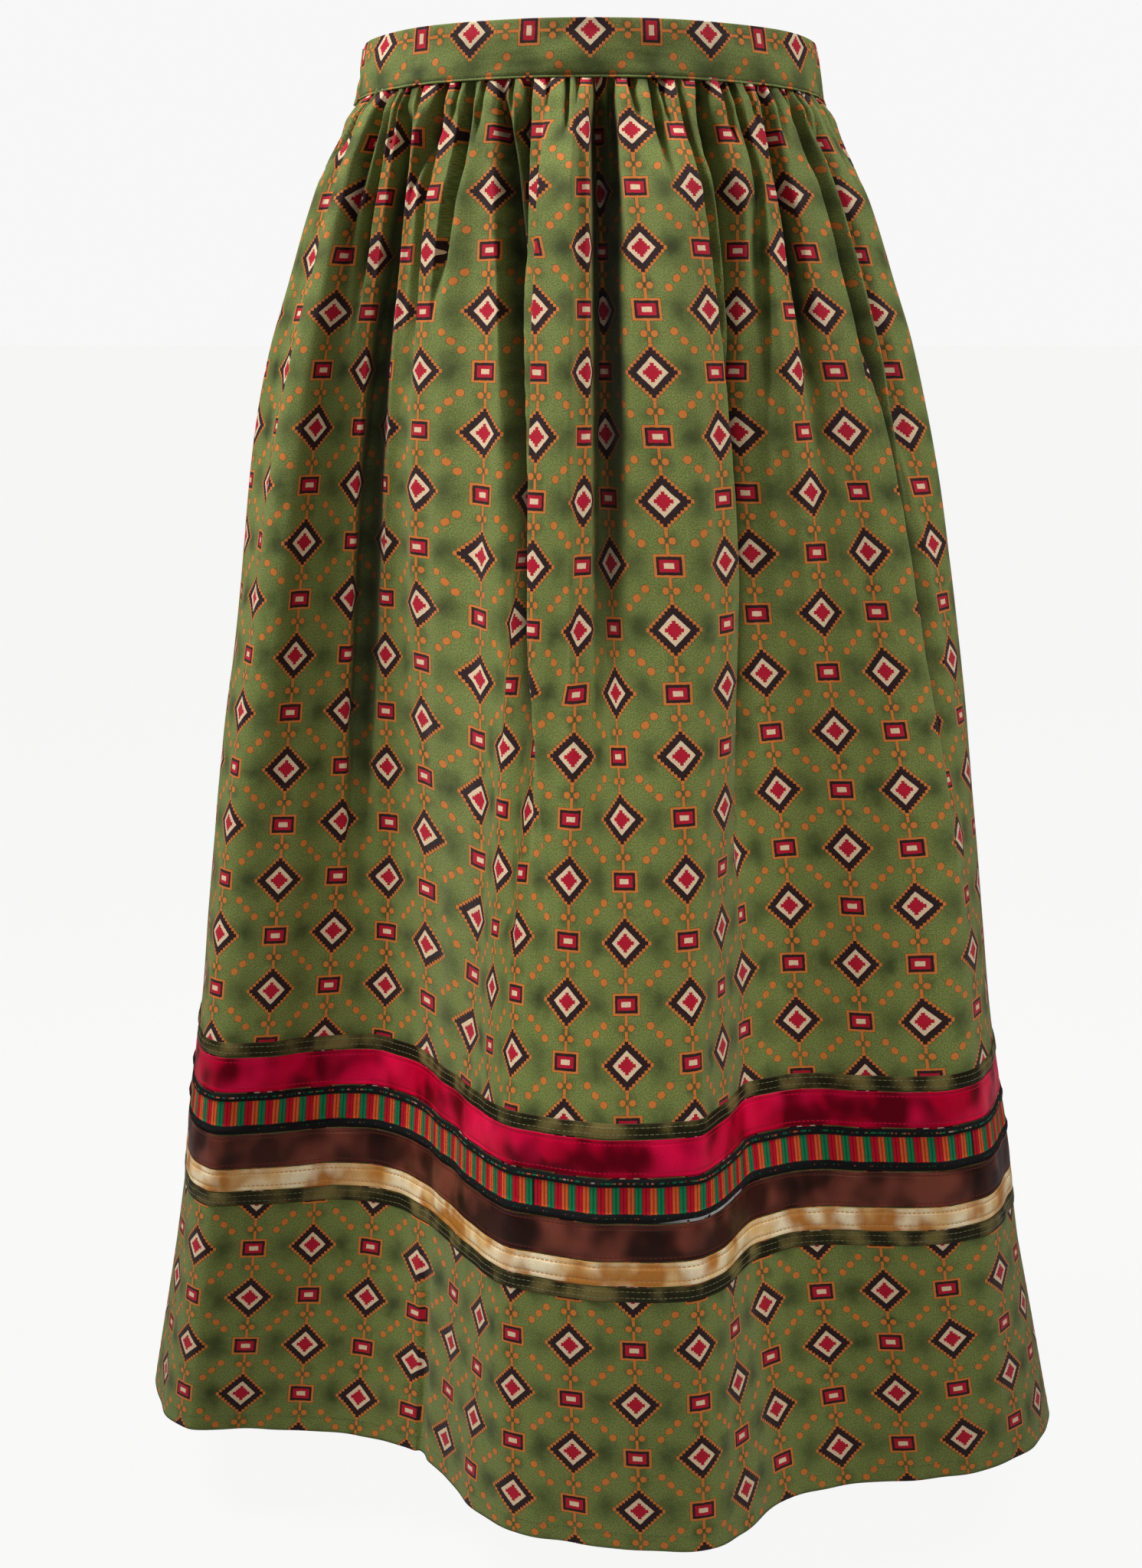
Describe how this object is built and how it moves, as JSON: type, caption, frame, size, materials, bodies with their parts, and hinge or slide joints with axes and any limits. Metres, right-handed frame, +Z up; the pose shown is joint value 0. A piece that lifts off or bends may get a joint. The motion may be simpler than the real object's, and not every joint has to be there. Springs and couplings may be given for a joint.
{
  "type": "ribbon skirt",
  "caption": "Ankle-length gathered cotton skirt in its worn round form, with a waistband and a stack of satin and woven ribbons running all round above the hem.",
  "frame": {"origin": "the middle of the waist opening, on the plane of the waistband's upper edge", "axes": "+Z up out of the waist, -Y towards the front of the skirt, +X towards the right of someone who looks at its front"},
  "size_m": [0.6435, 0.5405, 0.9452],
  "materials": {
    "printed_cotton": "printed plain-weave cotton, matt with a faint sheen",
    "olive_ribbon": "ribbed ribbon with a soft sheen",
    "crimson_satin": "satin ribbon",
    "woven_trim": "striped woven trim with corded edges, matt",
    "brown_satin": "satin ribbon",
    "gold_satin": "satin ribbon"
  },
  "bodies": {
    "root": {"waistband_front": "printed_cotton", "waistband_back": "printed_cotton", "panel_front": "printed_cotton", "panel_back": "printed_cotton", "olive_ribbon_upper": "olive_ribbon", "crimson_ribbon": "crimson_satin", "woven_trim": "woven_trim", "brown_ribbon": "brown_satin", "gold_ribbon": "gold_satin", "olive_ribbon_lower": "olive_ribbon"}
  },
  "joints": []
}
